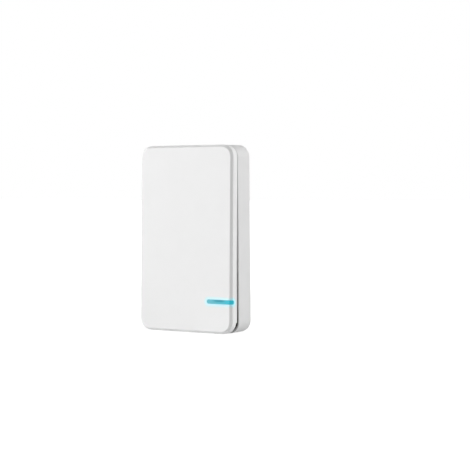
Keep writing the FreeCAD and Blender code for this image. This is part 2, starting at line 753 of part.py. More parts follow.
def make_rocker():
    body = new_body("rocker")
    outline = new_sketch(body, "outline", "rocker_rim")
    draw_outline(outline, "0")
    slab = pad(body, "slab", outline, "rocker_side + face_chamfer")
    bevel = dress(body, "Chamfer", "bevel", edges_at_depth(slab, "face"), "face_chamfer")
    soft = edges_at_depth(bevel, "face") + edges_at_depth(bevel, "chamfer_line")
    softened = dress(body, "Fillet", "soft_edges", soft, "edge_round")
    dress(body, "Chamfer", "rear_edge", edges_at_depth(softened, "rocker_rim"), "rim_bevel")
    skirt = new_sketch(body, "skirt", "skirt_end")
    draw_outline(skirt, "skirt_inset")
    pad(body, "skirt_block", skirt, "skirt_reach + rim_bevel")
    cavity = new_sketch(body, "cavity", "plate_back")
    draw_outline(cavity, "cavity_inset")
    pocket(body, "hollow", cavity, "plate_back - skirt_end")
    openings = new_sketch(body, "corner_openings", "rocker_rim")
    for left, right in (("opening_side", "body_width / 2"), ("-1 * body_width / 2", minus("opening_side"))):
        draw_box(openings, left, right, "-1 * body_height / 2", minus("opening_drop"))
    pocket(body, "corner_opening_set", openings, "skirt_reach")

    long_ribs = new_sketch(body, "long_ribs", "plate_back")
    for across in ("-1 * rib_spread", "0", "rib_spread"):
        draw_centred_box(long_ribs, across, "0", "rib_thickness", "body_height - 2 * skirt_inset")
    pad(body, "long_rib_set", long_ribs, "rib_depth", reverse=True)
    cross_ribs = new_sketch(body, "cross_ribs", "plate_back")
    for up in ("top_rib_z", "-1 * middle_rib_drop", "-1 * foot_rib_drop"):
        draw_centred_box(cross_ribs, "0", up, "body_width - 2 * skirt_inset", "rib_thickness")
    pad(body, "cross_rib_set", cross_ribs, "rib_depth", reverse=True)

    nubs = new_sketch(body, "nubs", "plate_back")
    for across in ("tact_x", "-1 * tact_x"):
        draw_circle(nubs, across, "tact_z", "nub_radius")
    nub_tip = "(plunger_top + nub_gap - tact_arm * sin( rocker_tilt ))"
    pad(body, "nub_set", nubs, "plate_back - " + nub_tip, reverse=True)

    spring_pins = new_sketch(body, "spring_pins", "plate_back")
    for across in ("spring_x", "-1 * spring_x"):
        draw_circle(spring_pins, across, "-1 * spring_drop", "spring_pin_radius")
    pad(body, "spring_pin_set", spring_pins, "spring_pin_length", reverse=True)

    cheek_face = "(body_width / 2 - cheek_inset)"
    for side, name in ((1, "right"), (-1, "left")):
        place = cheek_face if side > 0 else minus(cheek_face)
        add_hinge_arm(body, name + "_cheek", place, "plate_back", "cheek_radius", "cheek_thickness", side < 0)
        pin = new_sketch(body, name + "_pin", place, "YZ_Plane")
        draw_circle(pin, minus("hinge_depth"), "hinge_height", "pin_radius")
        pad(body, name + "_pin_pad", pin, "pin_length", reverse=side > 0)

    catch = "(frame_back - hook_gap - " + swing("hook_drop") + ")"
    hook_foot = "(" + catch + " - hook_barb_height)"
    hook_back = "(-1 * hook_drop - hook_thickness / 2)"
    hook_front = "(-1 * hook_drop + hook_thickness / 2)"
    for name, across in (("right", "hook_x"), ("left", "-1 * hook_x")):
        hook = new_sketch(body, name + "_hook", across + " - hook_width / 2", "YZ_Plane")
        draw_polygon(hook, [
            (minus("plate_back"), hook_front), (minus(hook_foot), hook_front), (minus(hook_foot), hook_back),
            (minus(catch), hook_back + " - hook_barb"), (minus(catch), hook_back),
            (minus("plate_back"), hook_back)])
        pad(body, name + "_hook_pad", hook, "hook_width")

    bar_slot = new_sketch(body, "bar_slot", "face")
    draw_bar_outline(bar_slot, "0", "body_width / 2 + face_chamfer")
    pocket(body, "bar_groove", bar_slot, "face_chamfer")
    stem_hole = new_sketch(body, "stem_hole", "chamfer_line")
    draw_centred_box(stem_hole, "led_x", "-1 * bar_drop", "stem_width", "stem_height")
    pocket(body, "stem_opening", stem_hole, "plate_thickness - face_chamfer + rib_depth")
    hang_on_hinge(body)
    return body


def draw_bar_outline(sketch, inset, right_end):
    """Bar with a round left end, shrunk by inset, that runs out at right_end."""
    radius = "(bar_height / 2 - " + inset + ")"
    x, y, r, end = number("bar_left + bar_height / 2"), -number("bar_drop"), number(radius), number(right_end)
    quarter = 1.5707963267948966
    circle = Part.Circle(Vector(x, y, 0), Vector(0, 0, 1), r)
    foot = sketch.addGeometry(Part.LineSegment(Vector(x, y - r, 0), Vector(end, y - r, 0)), False)
    tip = sketch.addGeometry(Part.LineSegment(Vector(end, y - r, 0), Vector(end, y + r, 0)), False)
    top = sketch.addGeometry(Part.LineSegment(Vector(end, y + r, 0), Vector(x, y + r, 0)), False)
    nose = sketch.addGeometry(Part.ArcOfCircle(circle, quarter, 3 * quarter), False)
    sketch.addConstraint(Sketcher.Constraint("Coincident", foot, 2, tip, 1))
    sketch.addConstraint(Sketcher.Constraint("Coincident", tip, 2, top, 1))
    sketch.addConstraint(Sketcher.Constraint("Tangent", top, 2, nose, 1))
    sketch.addConstraint(Sketcher.Constraint("Tangent", nose, 2, foot, 1))
    sketch.addConstraint(Sketcher.Constraint("Horizontal", foot))
    sketch.addConstraint(Sketcher.Constraint("Horizontal", top))
    sketch.addConstraint(Sketcher.Constraint("Vertical", tip))
    constrain(sketch, "Radius", (nose,), radius)
    place_point(sketch, nose, 3, "bar_left + bar_height / 2", "-1 * bar_drop")
    constrain(sketch, "DistanceX", (-1, 1, tip, 1), right_end)


def make_light_bar():
    body = new_body("light_bar")
    outline = new_sketch(body, "outline", "chamfer_line")
    right_end = "body_width / 2 - bar_tip"
    draw_bar_outline(outline, "bar_clearance", right_end)
    pad(body, "strip", outline, "face_chamfer")
    slope = new_sketch(body, "slope", "0", "XY_Plane")
    edge = "body_width / 2"
    draw_polygon(slope, [
        (edge, minus("chamfer_line")),
        (edge + " - face_chamfer", minus("face")),
        (edge, minus("face"))])
    cut = body.newObject("PartDesign::Pocket", "light_bar_slope_cut")
    cut.Profile = slope
    cut.Type = "ThroughAll"
    cut.Midplane = True
    body.Tip = cut
    doc.recompute()
    stem = new_sketch(body, "stem", "chamfer_line")
    draw_centred_box(stem, "led_x", "-1 * bar_drop", "stem_width - 2 * bar_clearance",
                     "stem_height - 2 * bar_clearance")
    pad(body, "stem_pad", stem, "chamfer_line - frame_face - stem_play", reverse=True)
    hang_on_hinge(body)
    return body


def make_circuit_board():
    body = new_body("circuit_board")
    outline = new_sketch(body, "outline", "board_back")
    draw_polygon(outline, [
        (minus("board_edge"), "-1 * board_foot"), ("arm_left", "-1 * board_foot"),
        ("arm_left", "-1 * arm_foot"), ("board_edge", "-1 * arm_foot"),
        ("board_edge", "board_top"), (minus("board_edge"), "board_top")])
    pad(body, "panel", outline, "board_thickness")
    holes = new_sketch(body, "holes", "board_face")
    for across, up in STANDOFFS:
        draw_circle(holes, across, up, "locating_radius + locating_clearance")
    pocket(body, "hole_set", holes, "board_thickness")
    return body


def make_tact_switch(side, across):
    """Push switch in four pieces: base, pressed metal cover, plunger and its set of leads."""
    base = new_body("tact_base_" + side)
    outline = new_sketch(base, "outline", "board_face")
    draw_centred_box(outline, across, "tact_z", "tact_width", "tact_width")
    pad(base, "block", outline, "tact_base")
    recess = new_sketch(base, "recess", "board_face + tact_base")
    draw_circle(recess, across, "tact_z", "plunger_radius + plunger_clearance")
    travel = "tact_arm * sin( rocker_tilt)"
    pocket(base, "recess_bore", recess, "plunger_root - tact_cover + " + travel + " + plunger_clearance")

    cover = new_body("tact_cover_" + side)
    sheet_outline = new_sketch(cover, "outline", "board_face + tact_base")
    draw_centred_box(sheet_outline, across, "tact_z", "tact_width", "tact_width")
    pad(cover, "sheet", sheet_outline, "tact_cover")
    opening = new_sketch(cover, "opening", "tact_top")
    draw_circle(opening, across, "tact_z", "plunger_radius + plunger_clearance")
    pocket(cover, "opening_bore", opening, "tact_cover")
    clips = new_sketch(cover, "clips", "tact_top")
    for rise in ("-1", "1"):
        clip_z = "tact_z + " + rise + " * ( tact_width + clip_thickness ) / 2"
        draw_centred_box(clips, across, clip_z, "clip_width", "clip_thickness")
    pad(cover, "clip_set", clips, "clip_length", reverse=True)

    plunger = new_body("plunger_" + side)
    disc = new_sketch(plunger, "disc", "tact_top - plunger_root")
    draw_circle(disc, across, "tact_z", "plunger_radius")
    pad(plunger, "stem", disc, "plunger_root + plunger_stand")
    dress(plunger, "Chamfer", "top_edge", edges_at_depth(plunger.Tip, "plunger_top"), "edge_round")

    leads = []
    for column, reach in (("left", "-1"), ("right", "1")):
        lead_x = across + " + " + reach + " * ( tact_width + lead_length ) / 2"
        for row, rise in (("low", "-1"), ("high", "1")):
            lead_z = "tact_z + " + rise + " * tact_lead_pitch / 2"
            leads.append(make_box("tact_lead_%s_%s_%s" % (side, column, row), lead_x, "board_face", lead_z,
                                  "lead_length", "tact_lead_width", "lead_height / 2"))
    return [base, cover, plunger, join("Part::Compound", "tact_leads_" + side, leads)]


def make_battery():
    """Cylinder cell that lies along X with its cap to the right."""
    body = new_body("battery")
    profile = new_sketch(body, "profile", "0", "XY_Plane")
    draw_polygon(profile, [
        ("0", "0"), ("battery_length", "0"), ("battery_length", "battery_cap_radius"),
        ("battery_can", "battery_cap_radius"), ("battery_can", "battery_radius - battery_bevel"),
        ("battery_can - battery_bevel", "battery_radius"), ("battery_bevel", "battery_radius"),
        ("0", "battery_radius - battery_bevel")])
    revolve(body, "turn", profile, "X_Axis")
    put(body, "-1 * battery_left", "battery_axis", "-1 * battery_drop")
    return body


def make_coil(label, radius, wire, pitch, rise, axis_role, outwards=True):
    """Open helical spring about a body axis. Its fine wire has four flat sides."""
    body = new_body(label)
    profile = new_sketch(body, "profile", "0", "XY_Plane")
    if axis_role == "Y_Axis":
        draw_wire(profile, radius, "0", wire)
    else:
        draw_wire(profile, "0", radius, wire)
    coil = body.newObject("PartDesign::AdditiveHelix", label + "_helix")
    coil.Profile = profile
    coil.ReferenceAxis = (origin_feature(body, axis_role), [""])
    coil.Mode = 0
    coil.setExpression("Pitch", sized(pitch))
    coil.setExpression("Height", sized(rise))
    coil.Reversed = outwards
    body.Tip = coil
    doc.recompute()
    return body


def make_battery_spring():
    rise = "(contact_spring - 2 * contact_wire)"
    body = make_coil("battery_spring", "contact_coil_radius", "contact_wire", rise + " / 3", rise,
                     "X_Axis", outwards=False)
    put(body, "-1 * battery_left - contact_gap - contact_wire - " + rise, "battery_axis", "-1 * battery_drop")
    return body


def make_contact_plate(label, across):
    """Flat sheet contact that stands in one end of the cradle, with a tab that reaches the board."""
    blade = make_box(label + "_blade", across, "housing_floor + battery_floor_gap", "-1 * battery_drop",
                     "contact_thickness", "contact_width", "cradle_height")
    tab_end = "tab_overlap - board_foot"
    tab = make_box(label + "_tab", across, "board_face", "( " + tab_end + " - battery_drop ) / 2",
                   "contact_thickness", tab_end + " + battery_drop", "tab_height")
    return join("Part::MultiFuse", label, [blade, tab])


def make_return_spring(side, across):
    top = "(plate_back + " + swing("spring_drop") + " - spring_seat_gap)"
    rise = "(" + top + " - well_floor - 2 * spring_wire)"
    body = make_coil("return_spring_" + side, "spring_radius", "spring_wire", rise + " / spring_turns", rise,
                     "Y_Axis")
    put(body, across, "well_floor + spring_wire", "-1 * spring_drop")
    return body


def make_indicator_led():
    """Round lamp with a flange and a domed top, turned about the depth axis."""
    body = new_body("indicator_led")
    profile = new_sketch(body, "profile", "0", "XY_Plane")
    draw_polygon(profile, [
        ("0", "0"), ("led_flange_radius", "0"), ("led_flange_radius", "-1 * led_flange"),
        ("led_radius", "-1 * led_flange"), ("led_radius", "-1 * led_height + led_radius / 2"),
        ("led_radius / 2", "-1 * led_height"), ("0", "-1 * led_height")])
    revolve(body, "turn", profile, "Y_Axis")
    put(body, "led_x", "board_face", "-1 * bar_drop")
    return body


def make_encoder_chip():
    """Eight-lead chip: the moulding and two rows of four leads."""
    pieces = [make_box("chip_moulding", "0", "board_face + lead_height / 4", "chip_z",
                       "chip_length", "chip_width", "chip_height")]
    for column in range(4):
        for row in (-1, 1):
            across = "lead_pitch * %.1f" % (column - 1.5)
            up = "chip_z + %d * ( chip_width + lead_length ) / 2" % row
            pieces.append(make_box("chip_lead_%d_%d" % (column, row + 1), across, "board_face", up,
                                   "lead_width", "lead_length", "lead_height"))
    return join("Part::MultiFuse", "encoder_chip", pieces)


def make_resonator_can():
    flange = make_rod("can_flange_disc", "-1 * tact_x", "board_face", "can_z",
                      "can_flange_radius", "can_flange")
    can = make_rod("can_barrel", "-1 * tact_x", "board_face", "can_z", "can_radius", "can_height")
    return join("Part::MultiFuse", "resonator_can", [flange, can])


def make_antenna_coil():
    rise = "(coil_pitch * coil_turns)"
    body = make_coil("antenna_coil", "coil_radius", "coil_wire", "coil_pitch", rise, "X_Axis", outwards=False)
    put(body, "-1 * " + rise + " / 2", "board_face + coil_radius + coil_wire + coil_lift", "tact_z")
    return body


def make_transistor():
    moulding = make_box("transistor_moulding", "transistor_x", "board_face + lead_width / 4", "transistor_z",
                        "transistor_length", "transistor_width", "transistor_height")
    pieces = [moulding]
    for index, (shift, row) in enumerate(((-0.75, -1), (0.75, -1), (0, 1))):
        across = "transistor_x + %.2f * lead_pitch" % shift
        up = "transistor_z + %d * ( transistor_width + lead_length / 2 ) / 2" % row
        pieces.append(make_box("transistor_lead_%d" % index, across, "board_face", up,
                               "lead_width", "lead_length / 2", "lead_height / 2"))
    return join("Part::MultiFuse", "transistor", pieces)


def make_inductor():
    """Drum core with a waist, turned about the depth axis."""
    body = new_body("inductor")
    profile = new_sketch(body, "profile", "0", "XY_Plane")
    draw_polygon(profile, [
        ("0", "0"), ("drum_radius", "0"), ("drum_radius", "-1 * drum_flange"),
        ("drum_waist", "-1 * drum_flange"), ("drum_waist", "drum_flange - drum_height"),
        ("drum_radius", "drum_flange - drum_height"), ("drum_radius", "-1 * drum_height"),
        ("0", "-1 * drum_height")])
    revolve(body, "turn", profile, "Y_Axis")
    put(body, "drum_x", "board_face", "drum_z")
    return body


def make_small_parts(label, places, kind):
    """Group of like surface-mounted parts."""
    boxes = []
    for index, (across, up) in enumerate(places):
        boxes.append(make_box("%s_%d" % (label, index), across, "board_face", up,
                              kind + "_length", kind + "_width", kind + "_height"))
    return join("Part::Compound", label, boxes)


def make_frame_screws():
    """Four pan-head screws that hold the inner frame to the posts."""
    screws = []
    for row, up in (("top", "post_z"), ("foot", "-1 * post_z")):
        for side, across in (("left", "-1 * post_x"), ("right", "post_x")):
            name = "screw_" + row + "_" + side
            head = make_rod(name + "_head", across, "frame_face", up,
                            "screw_head_radius", "screw_head_height")
            tip = "frame_face + screw_head_height / 2 - screw_length"
            shank = make_rod(name + "_shank", across, tip, up, "screw_radius", "screw_length")
            solid = join("Part::MultiFuse", name + "_solid", [head, shank])
            recess_floor = "frame_face + screw_head_height - recess_depth"
            bar = make_box(name + "_bar", across, recess_floor, up,
                           "screw_head_radius", "recess_width", "screw_head_height")
            upright = make_box(name + "_upright", across, recess_floor, up,
                               "recess_width", "screw_head_radius", "screw_head_height")
            cross = join("Part::MultiFuse", name + "_cross", [bar, upright])
            screw = doc.addObject("Part::Cut", name)
            screw.Base = solid
            screw.Tool = cross
            screws.append(screw)
    doc.recompute()
    return join("Part::Compound", "frame_screws", screws)


parts = [
    make_housing(),
    make_mid_frame(),
    make_rocker(),
    make_light_bar(),
    make_circuit_board(),
    *make_tact_switch("left", "-1 * tact_x"),
    *make_tact_switch("right", "tact_x"),
    make_battery(),
    make_battery_spring(),
    make_contact_plate("spring_plate", "cradle_left + contact_gap + contact_thickness / 2"),
    make_contact_plate("battery_plate", "battery_right + contact_gap + contact_thickness / 2"),
    make_return_spring("left", "-1 * spring_x"),
    make_return_spring("right", "spring_x"),
    make_indicator_led(),
    make_encoder_chip(),
    make_resonator_can(),
    make_antenna_coil(),
    make_transistor(),
    make_inductor(),
    make_small_parts("capacitors", CAPACITORS, "capacitor"),
    make_small_parts("resistors", RESISTORS, "resistor"),
    make_frame_screws(),
]
doc.recompute()

for thing in doc.Objects:
    if "Invalid" in thing.State or "Error" in thing.State:
        raise RuntimeError(thing.Name + " failed: " + str(thing.State))
for part in parts:
    if part.Shape.isNull() or not part.Shape.isValid():
        raise RuntimeError(part.Label + " has no valid shape")

os.makedirs("parts", exist_ok=True)
for part in parts:
    part.Shape.exportStep("parts/" + part.Label + ".step")
    box = part.Shape.BoundBox
    print("%-20s %2d solid %9.2f mm3  x %6.2f..%6.2f  y %6.2f..%6.2f  z %6.2f..%6.2f" % (
        part.Label, len(part.Shape.Solids), part.Shape.Volume,
        box.XMin, box.XMax, box.YMin, box.YMax, box.ZMin, box.ZMax))
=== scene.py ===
"""Looks of a battery radio wall switch: moulded plastics, metals, board parts, studio and camera."""
import bpy
import json
import math
from mathutils import Matrix, Vector


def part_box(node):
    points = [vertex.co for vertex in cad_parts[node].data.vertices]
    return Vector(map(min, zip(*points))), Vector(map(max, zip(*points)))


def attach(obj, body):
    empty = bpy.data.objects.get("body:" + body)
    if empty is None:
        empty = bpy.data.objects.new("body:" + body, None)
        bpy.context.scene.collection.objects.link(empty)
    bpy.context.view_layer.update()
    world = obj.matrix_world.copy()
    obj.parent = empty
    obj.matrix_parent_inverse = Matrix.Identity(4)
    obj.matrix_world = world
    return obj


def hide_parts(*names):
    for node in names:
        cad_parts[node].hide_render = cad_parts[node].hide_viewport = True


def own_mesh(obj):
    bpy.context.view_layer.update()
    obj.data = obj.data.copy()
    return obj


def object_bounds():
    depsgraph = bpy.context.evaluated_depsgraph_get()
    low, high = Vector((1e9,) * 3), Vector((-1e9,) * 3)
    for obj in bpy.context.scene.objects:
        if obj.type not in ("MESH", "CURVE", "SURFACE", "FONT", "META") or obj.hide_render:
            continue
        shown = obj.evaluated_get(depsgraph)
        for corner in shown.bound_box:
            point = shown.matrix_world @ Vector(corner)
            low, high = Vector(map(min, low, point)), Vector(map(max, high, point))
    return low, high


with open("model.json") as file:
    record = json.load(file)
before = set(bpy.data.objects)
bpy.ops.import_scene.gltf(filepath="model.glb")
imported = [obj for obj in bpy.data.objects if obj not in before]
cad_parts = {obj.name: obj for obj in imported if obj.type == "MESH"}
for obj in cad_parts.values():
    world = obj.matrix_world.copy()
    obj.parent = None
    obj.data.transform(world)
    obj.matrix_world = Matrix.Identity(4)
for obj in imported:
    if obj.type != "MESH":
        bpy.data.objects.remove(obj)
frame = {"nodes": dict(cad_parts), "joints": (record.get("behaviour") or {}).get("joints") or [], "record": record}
cad_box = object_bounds()
scene = bpy.context.scene
MM = 0.001
BLACK = (0.0, 0.0, 0.0, 1.0)
WHITE = (1.0, 1.0, 1.0, 1.0)

# Camera at the photograph's viewing angle: its place in metres, angles in degrees, lens in millimetres
CAMERA_PLACE = Vector((0.4063, -0.57445, 0.02921))
CAMERA_AZIMUTH = 34.089
CAMERA_ELEVATION = -2.283
CAMERA_ROLL = -0.477
CAMERA_LENS = 115.02
SENSOR_WIDTH = 36.0

# Lamps: azimuth in degrees from -Y towards +X, elevation, and the light on a surface that faces them,
# where 1 shows a colour as it is written. Their distance and size are in metres
LAMPS = {
    "key_light": (-22.0, 2.0, 0.61),
    "left_light": (-55.0, 4.0, 1.21),
    "side_light": (125.0, 2.0, 0.57),
    "rim_light": (110.0, 30.0, 0.48),
    "back_light": (180.0, 10.0, 0.50),
}
LAMP_DISTANCE = 3.0
LAMP_SIZE = 2.0

# The world: its light on the part, and its strength where it shows as the background
FILL_LEVEL = 0.08
BACKGROUND_LEVEL = 1.0

# The floor, in metres: its glow beside the part and far off, where the one turns into the other, and
# its colour as it is seen and as it lights the part
FLOOR_SIZE = 6.0
FLOOR_GLOW = (0.80, 1.0)
FLOOR_FADE = (0.10, 0.45)
FLOOR_SEEN = (0.45, 0.45, 0.45, 1.0)
FLOOR_BOUNCE = (0.80, 0.80, 0.80, 1.0)

# The span that holds nearly all values of a noise
NOISE_SPAN = (0.3, 0.7)

# Moulded plastics by slot: colour, roughness, and the size and depth of the grain in millimetres
SHELL_WHITE = (0.80, 0.80, 0.80, 1.0)
SHELL_FINISH = (0.53, 0.22, 0.004)
PLASTICS = {
    # white_shell, on the tray, is a darker copy of the rocker's SHELL_WHITE: painted shade, so that its sides read
    # darker than the rocker's
    "white_shell": ((0.69, 0.69, 0.69, 1.0), *SHELL_FINISH),
    # inner_plastic's near black is painted shade, which darkens the gap round the rocker where the inner frame
    # shows
    "inner_plastic": ((0.03, 0.03, 0.032, 1.0), 0.42, 0.3, 0.003),
    "black_plastic": ((0.02, 0.02, 0.02, 1.0), 0.4, 0.15, 0.003),
    "lamp_epoxy": ((0.45, 0.65, 0.80, 1.0), 0.15, 0.5, 0.001),
    "ferrite": ((0.05, 0.045, 0.045, 1.0), 0.5, 0.1, 0.006),
    "capacitor_body": ((0.42, 0.30, 0.18, 1.0), 0.4, 0.1, 0.002),
    "resistor_body": ((0.02, 0.02, 0.022, 1.0), 0.3, 0.1, 0.001),
}

# How far the tone and roughness of plastics drift, over how many millimetres, and how they refract
PLASTIC_TONE_DRIFT = 0.006
PLASTIC_TONE_MM = 9.0
PLASTIC_ROUGHNESS_DRIFT = 0.03
PLASTIC_ROUGHNESS_MM = 4.0
PLASTIC_IOR = 1.49

# Bare metals by slot: colour and roughness
METALS = {
    "tinned_steel": ((0.46, 0.46, 0.44, 1.0), 0.34),
    "spring_steel": ((0.40, 0.40, 0.41, 1.0), 0.28),
    "screw_steel": ((0.34, 0.34, 0.35, 1.0), 0.38),
    "copper_wire": ((0.72, 0.33, 0.16, 1.0), 0.25),
}

# How far the tone and roughness of metals drift, over how many millimetres, and their fine grain
METAL_TONE_DRIFT = 0.04
METAL_TONE_MM = 1.5
METAL_ROUGHNESS_DRIFT = (-0.05, 0.08)
METAL_ROUGHNESS_MM = 0.8
METAL_GRAIN_MM = 0.25
METAL_GRAIN_DEPTH_MM = 0.002

# The cell: bare metal at its minus and plus end, and how far the gilt band reaches from the minus end
CELL_BARE_MM = (0.8, 1.8)
CELL_BAND_MM = 6.0
CELL_CLOUD_MM = 0.8
CELL_BLUES = ((0.020, 0.055, 0.16, 1.0), (0.026, 0.068, 0.19, 1.0))
CELL_STEELS = ((0.55, 0.55, 0.54, 1.0), (0.66, 0.66, 0.65, 1.0))
CELL_GILT = (0.48, 0.36, 0.12, 1.0)

# The board's face: fields of parallel tracks that run across or upright, fields poured full of copper,
# and vias. Each pair of shares is where one look starts to turn into the other and where it has done so
TRACK_FIELD_MM = 5.5
TRACK_PITCH_MM = 0.9
TRACK_WIDTH_MM = 0.4
TRACK_HEIGHT_MM = 0.03
TRACK_EDGE = (0.9, 1.1)
UPRIGHT_SHARE = (0.49, 0.51)
POURED_SHARE = (0.35, 0.36)
VIA_FIELD_MM = 4.2
VIA_EDGE = (0.065, 0.080)
BOARD_BARE = (0.007, 0.075, 0.026, 1.0)
BOARD_OVER_COPPER = (0.020, 0.170, 0.056, 1.0)
VIA_TIN = (0.52, 0.52, 0.50, 1.0)

# The light bar's middle line, from its inner end to the rocker's side
BAR_START = Vector((13.4, -16.0, -28.3)) * MM
BAR_END = Vector((26.1, -14.7, -28.3)) * MM
BAR_SPAN = BAR_END - BAR_START

# Its plastic: pale at the inner end, and deepest from a share of the way to the lamp onwards
GUIDE_PALE = (0.084, 0.20, 0.26, 1.0)
GUIDE_DEEP = (0.0, 0.21, 0.30, 1.0)
GUIDE_DEEP_SHARE = 0.85
GUIDE_CLOUD_MM = 1.2
GUIDE_CLOUD_DRIFT = (-0.10, 0.10)
GUIDE_GLOW = (0.01, 0.245, 0.285, 1.0)
GUIDE_IOR = 1.5
GUIDE_SPECULAR = 0.35

# The shade of its groove along its upper edge: the middle, half the width and height, and the fade
SHADE_MIDDLE = Vector((19.3, -15.5, -27.75)) * MM
SHADE_HALF_MM = (4.8, 0.8)
SHADE_FADE = (0.2, 1.0)
SHADE_COLOUR = (0.0, 0.10, 0.16, 1.0)
SHADE_GLOW = (0.0, 0.17, 0.20, 1.0)

# Its light in the plate around it: how far from the middle line it starts to fade and ends, and its
# strength at the bar's inner and outer end
HALO_REACH_MM = (0.95, 2.9)
HALO_STRENGTH = (0.65, 1.0)
HALO_TINT = (0.50, 0.80, 0.80, 1.0)
HALO_GLOW = (0.0, 0.15, 0.22, 1.0)

# The rocker: at rest it stands out by its joint's whole range. Its side, and the depth of the chamfer's
# edge on that side, are in millimetres
ROCKER_JOINT = next(joint for joint in frame["joints"] if joint["name"] == "rocker_tilt")
HINGE = Vector(ROCKER_JOINT["pos_m"])
REST_TURN = Matrix.Rotation(-math.radians(ROCKER_JOINT["range_deg"][1]), 3, "X")
SHELL_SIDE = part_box("rocker")[1].x / MM
CHAMFER_DEPTH = 13.35

# The end of the light bar that folds over the chamfer's edge onto the side, in millimetres, and the
# power of the curve that rounds it
TIP_DROP = 28.4
TIP_HALF_HEIGHT = 0.96
TIP_LEAST_HALF_HEIGHT = 0.02
TIP_OVERLAP = 0.16
TIP_REACH = 1.0
TIP_ROUNDNESS = 2.6
TIP_RISE = 0.03
TIP_THICKNESS = 0.10

# Return springs, in millimetres: the wire's radius, how many radii a closed end takes up, turns, and the
# share of the wire that is closed at each end
WIRE_RADIUS = 0.2
SEAT_RADII = 3.0
SPRING_TURNS = 6.5
SPRING_CLOSED = 0.12


def new_material(name):
    """Material with its node tree and its shader."""
    material = bpy.data.materials.new(name)
    material.use_nodes = True
    tree = material.node_tree
    return material, tree, tree.nodes["Principled BSDF"]


def add_node(tree, kind, **values):
    """Node of a tree with its properties or named inputs set."""
    node = tree.nodes.new(kind)
    for key, value in values.items():
        if hasattr(node, key):
            setattr(node, key, value)
        else:
            node.inputs[key].default_value = value
    return node


def feed(tree, value, socket):
    """Link a socket to an input, or set the input to a plain value."""
    if hasattr(value, "is_linked"):
        tree.links.new(value, socket)
    else:
        socket.default_value = value


def calculate(tree, operation, first, second, clamp=False):
    """Result of a math node for two sockets or numbers."""
    node = add_node(tree, "ShaderNodeMath", operation=operation, use_clamp=clamp)
    feed(tree, first, node.inputs[0])
    feed(tree, second, node.inputs[1])
    return node.outputs[0]


def vector_step(tree, operation, first, second=None):
    """Result of a vector math node for one or two sockets or plain values."""
    node = add_node(tree, "ShaderNodeVectorMath", operation=operation)
    feed(tree, first, node.inputs[0])
    if second is not None:
        feed(tree, second, node.inputs["Scale" if operation == "SCALE" else 1])
    return node.outputs["Value" if operation in ("LENGTH", "DOT_PRODUCT") else "Vector"]


def map_range(tree, value, source, target, smooth=False):
    """Value carried from one range over to another and held at its ends, evenly or on a soft curve."""
    kind = "SMOOTHSTEP" if smooth else "LINEAR"
    ranged = add_node(tree, "ShaderNodeMapRange", interpolation_type=kind)
    for name, number in zip(("From Min", "From Max", "To Min", "To Max"), (*source, *target)):
        ranged.inputs[name].default_value = number
    tree.links.new(value, ranged.inputs["Value"])
    return ranged.outputs["Result"]


def mix_colours(tree, share, first, second):
    """Colour between two sockets or plain colours."""
    mix = add_node(tree, "ShaderNodeMix", data_type="RGBA")
    tree.links.new(share, mix.inputs[0])
    feed(tree, first, mix.inputs[6])
    feed(tree, second, mix.inputs[7])
    return mix.outputs[2]


def object_place(tree):
    """Place on the surface in the object's own coordinates, in metres."""
    return add_node(tree, "ShaderNodeTexCoord").outputs["Object"]


def object_noise(tree, size_mm, detail=2.0):
    """Noise with features of about size_mm."""
    noise = add_node(tree, "ShaderNodeTexNoise", Scale=1.0 / (size_mm * MM), Detail=detail)
    tree.links.new(object_place(tree), noise.inputs["Vector"])
    return noise.outputs["Fac"]


def vary_colour(tree, colour, drift, size_mm):
    """Colour that grows a little lighter and darker over the surface."""
    ramp = add_node(tree, "ShaderNodeValToRGB")
    for element, place, level in zip(ramp.color_ramp.elements, NOISE_SPAN, (1.0 - drift, 1.0 + drift)):
        element.position = place
        element.color = [min(1.0, channel * level) for channel in colour[:3]] + [1.0]
    tree.links.new(object_noise(tree, size_mm), ramp.inputs["Fac"])
    return ramp.outputs["Color"]


def vary_roughness(tree, shader, low, high, size_mm):
    """Roughness that drifts between two values, in patches of about size_mm."""
    roughness = map_range(tree, object_noise(tree, size_mm), NOISE_SPAN, (low, high))
    tree.links.new(roughness, shader.inputs["Roughness"])


def add_relief(tree, shader, height, depth_mm):
    """Surface relief from a height between 0 and 1, depth_mm deep."""
    bump = add_node(tree, "ShaderNodeBump", Strength=1.0, Distance=depth_mm * MM)
    tree.links.new(height, bump.inputs["Height"])
    tree.links.new(bump.outputs["Normal"], shader.inputs["Normal"])


def add_grain(tree, shader, size_mm, depth_mm):
    """Fine random relief, depth_mm deep."""
    add_relief(tree, shader, object_noise(tree, size_mm, detail=3.0), depth_mm)


def finish_plastic(tree, shader, roughness, grain_mm, depth_mm):
    """Gloss and grain of a moulded plastic."""
    low, high = roughness - PLASTIC_ROUGHNESS_DRIFT, roughness + PLASTIC_ROUGHNESS_DRIFT
    vary_roughness(tree, shader, low, high, PLASTIC_ROUGHNESS_MM)
    add_grain(tree, shader, grain_mm, depth_mm)
    shader.inputs["IOR"].default_value = PLASTIC_IOR


def plastic(name, colour, roughness, grain_mm, depth_mm):
    """Moulded plastic of one colour."""
    material, tree, shader = new_material(name)
    toned = vary_colour(tree, colour, PLASTIC_TONE_DRIFT, PLASTIC_TONE_MM)
    tree.links.new(toned, shader.inputs["Base Color"])
    finish_plastic(tree, shader, roughness, grain_mm, depth_mm)
    return material


def metal(name, colour, roughness):
    """Bare metal with a fine grain."""
    material, tree, shader = new_material(name)
    toned = vary_colour(tree, colour, METAL_TONE_DRIFT, METAL_TONE_MM)
    tree.links.new(toned, shader.inputs["Base Color"])
    low, high = (roughness + drift for drift in METAL_ROUGHNESS_DRIFT)
    vary_roughness(tree, shader, low, high, METAL_ROUGHNESS_MM)
    add_grain(tree, shader, METAL_GRAIN_MM, METAL_GRAIN_DEPTH_MM)
    shader.inputs["Metallic"].default_value = 1.0
    return material


